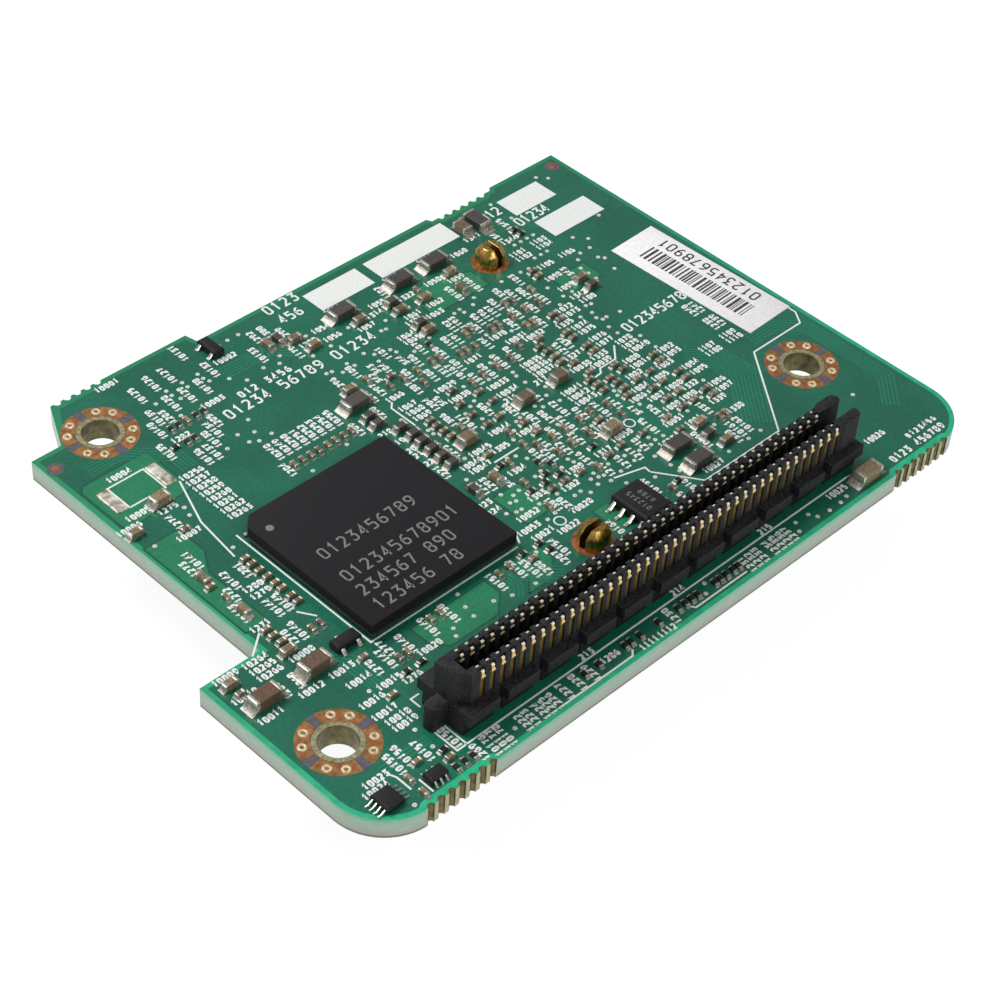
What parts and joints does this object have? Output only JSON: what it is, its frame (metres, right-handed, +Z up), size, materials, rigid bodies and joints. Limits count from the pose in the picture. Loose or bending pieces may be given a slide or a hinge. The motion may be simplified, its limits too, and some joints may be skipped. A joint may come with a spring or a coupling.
{
  "type": "mezzanine network card",
  "caption": "Small daughter card with a tall edge connector on top, a square network chip, three plated mounting holes and a finned heatsink underneath.",
  "frame": {"origin": "middle of the board's outline, on the plane of the heatsink's fin tips", "axes": "+Z up, out of the face with the connector; +X along the long side of the board; +Y from the connector's edge towards the opposite edge"},
  "size_m": [0.0852, 0.0644, 0.0206],
  "materials": {
    "solder_mask": "semi-gloss green solder mask over glass-epoxy laminate",
    "bare_copper": "thin clear-coated copper with tinned vias",
    "connector_plastic": "black glass-filled moulding",
    "gold_plate": "gold-plated spring alloy",
    "chip_laminate": "dark laminate",
    "mould_compound": "dark grey moulding with a fine matt grain",
    "nickel_plate": "nickel-plated copper lid",
    "thermal_pad": "grey silicone",
    "heatsink_aluminium": "extruded, clear anodised",
    "brass": "turned",
    "spring_steel": "bright wire",
    "tinned_lead": "matt tin",
    "solder": "bright solder",
    "ferrite": "dark sintered ferrite",
    "capacitor_ceramic": "fired ceramic, tan to brown",
    "resistor_film": "dark glazed film on white alumina",
    "label_paper": "coated white label"
  },
  "bodies": {
    "root": {"circuit_board": "solder_mask", "connector_housing": "connector_plastic", "contact_row_a": "gold_plate", "contact_row_b": "gold_plate", "contact_row_c": "gold_plate", "contact_row_d": "gold_plate", "chip_substrate": "chip_laminate", "chip_mould_cap": "mould_compound", "controller_substrate": "chip_laminate", "controller_lid": "nickel_plate", "thermal_pad": "thermal_pad", "heatsink": "heatsink_aluminium", "push_pin_1": "brass", "push_pin_2": "brass", "push_pin_spring_1": "spring_steel", "push_pin_spring_2": "spring_steel", "memory_chip_body": "mould_compound", "memory_chip_leads": "tinned_lead", "sensor_chip_body": "mould_compound", "sensor_chip_leads": "tinned_lead", "logic_chip_body": "mould_compound", "logic_chip_leads": "tinned_lead", "front_transistor_body": "mould_compound", "front_transistor_leads": "tinned_lead", "back_transistor_body": "mould_compound", "back_transistor_leads": "tinned_lead", "power_inductors": "ferrite", "tall_capacitors": "capacitor_ceramic", "large_capacitors": "capacitor_ceramic", "medium_capacitors": "capacitor_ceramic", "small_capacitors": "capacitor_ceramic", "ferrite_beads": "ferrite", "resistors": "resistor_film", "bare_pad_solder": "solder", "barcode_label": "label_paper"}
  },
  "joints": []
}
